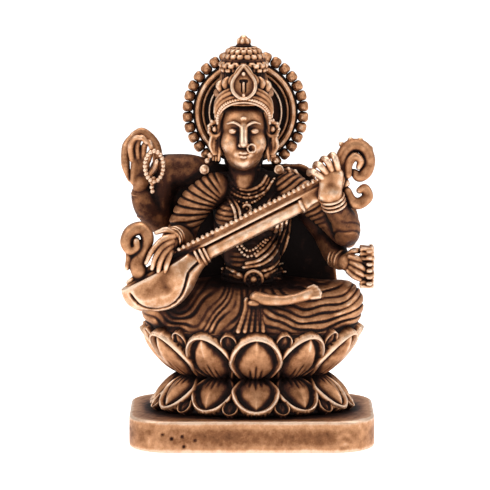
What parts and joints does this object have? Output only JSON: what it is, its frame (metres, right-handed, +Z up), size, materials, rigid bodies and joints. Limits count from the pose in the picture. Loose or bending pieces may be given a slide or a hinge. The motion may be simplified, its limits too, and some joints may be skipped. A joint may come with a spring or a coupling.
{
  "type": "hindu deity statue",
  "caption": "Cast metal statuette of a seated four-armed goddess playing a lute, with a halo and crown, on a double lotus and a rounded plinth.",
  "frame": {"origin": "middle of the plinth's underside", "axes": "+Z up through the crown, the figure faces -Y, its right side is towards -X"},
  "size_m": [0.0544, 0.034, 0.0901],
  "materials": {
    "worn_metal": "antique copper-gold, satin, bright on raised edges and dark brown in the grooves",
    "recess_metal": "dark oxidised brown, satin, for the backgrounds behind the raised work"
  },
  "bodies": {
    "root": {"plinth": "worn_metal", "lotus_foot": "recess_metal", "lower_petals": "worn_metal", "lower_sepals": "recess_metal", "waist_ring": "worn_metal", "lotus_cup": "recess_metal", "upper_petals": "worn_metal", "upper_sepals": "recess_metal", "skirt": "worn_metal", "right_thigh": "worn_metal", "left_thigh": "worn_metal", "front_pleats": "worn_metal", "crossed_foot": "worn_metal", "hips": "worn_metal", "belt": "worn_metal", "belt_buckle": "worn_metal", "torso": "worn_metal", "bodice": "worn_metal", "sash": "worn_metal", "choker": "worn_metal", "long_necklace": "worn_metal", "pendant": "worn_metal", "shawl": "recess_metal", "neck": "worn_metal", "head": "worn_metal", "hair": "recess_metal", "ear_ornaments": "worn_metal", "eardrops": "worn_metal", "crown_band": "worn_metal", "crown_body": "worn_metal", "crown_plaque": "worn_metal", "crown_tier": "worn_metal", "crown_finial": "worn_metal", "halo_disc": "recess_metal", "halo_ring": "worn_metal", "halo_knobs": "worn_metal", "right_sleeve": "worn_metal", "right_forearm": "worn_metal", "right_hand": "worn_metal", "left_sleeve": "worn_metal", "left_forearm": "worn_metal", "left_hand": "worn_metal", "rear_right_upper_arm": "worn_metal", "rear_right_forearm": "worn_metal", "rear_right_hand": "worn_metal", "rear_left_upper_arm": "worn_metal", "rear_left_forearm": "worn_metal", "rear_left_hand": "worn_metal", "bangles": "worn_metal", "rosary": "worn_metal", "book": "worn_metal", "veena_bowl": "worn_metal", "veena_tube": "worn_metal", "veena_collar": "worn_metal", "veena_fingerboard": "worn_metal", "veena_frets": "worn_metal", "veena_tail_scroll": "worn_metal", "veena_head_scroll": "worn_metal", "veena_pegs": "worn_metal"}
  },
  "joints": []
}
